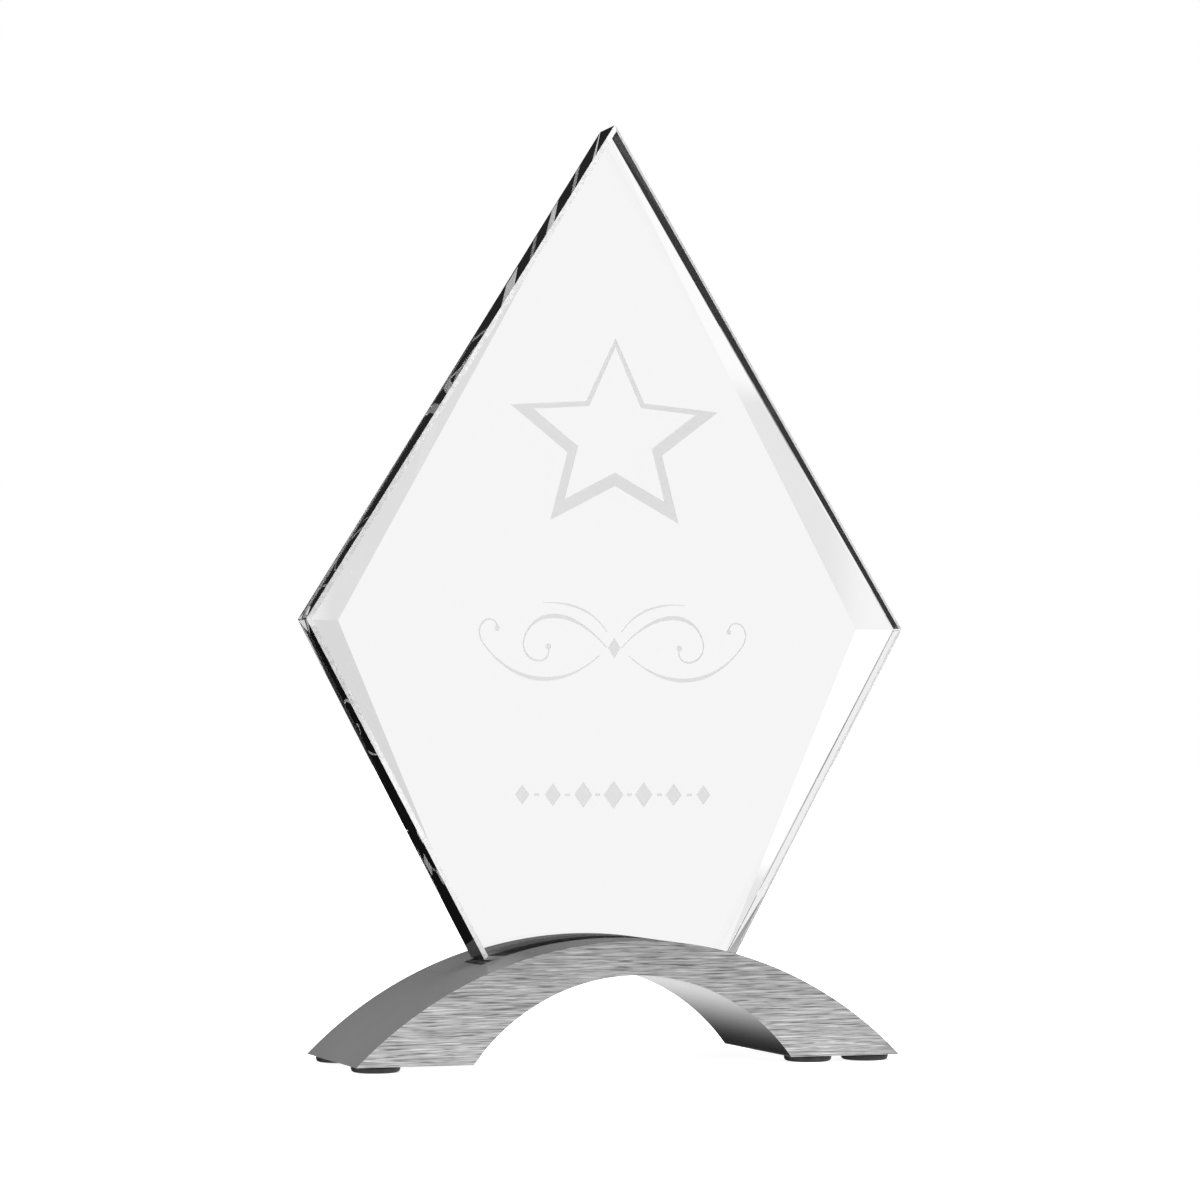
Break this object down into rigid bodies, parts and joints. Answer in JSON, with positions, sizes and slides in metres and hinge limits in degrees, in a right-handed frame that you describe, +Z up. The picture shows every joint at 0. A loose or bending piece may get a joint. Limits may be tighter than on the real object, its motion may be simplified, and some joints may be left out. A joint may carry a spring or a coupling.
{
  "type": "star trophy",
  "caption": "Kite-shaped bevelled glass award with an engraved star outline, standing in a slot across a brushed metal arch on rubber feet.",
  "frame": {"origin": "centre of the footprint, on the surface that the rubber feet stand on", "axes": "+Z up towards the glass apex, +X to the right of a person facing the engraved front, the front faces -Y"},
  "size_m": [0.16, 0.0444, 0.237],
  "materials": {
    "glass": "polished clear glass, frosted where engraved",
    "metal": "brushed lengthwise on the faces, satin on the arch's top and underside",
    "channel_rubber": "matte black",
    "adhesive": "cured black adhesive",
    "foot_rubber": "matte black"
  },
  "bodies": {
    "root": {"glass_plate": "glass", "arch_base": "metal", "slot_channel": "channel_rubber", "adhesive_bed": "adhesive", "foot_front_left": "foot_rubber", "foot_rear_left": "foot_rubber", "foot_rear_right": "foot_rubber", "foot_front_right_outer": "foot_rubber", "foot_front_right_inner": "foot_rubber"}
  },
  "joints": []
}
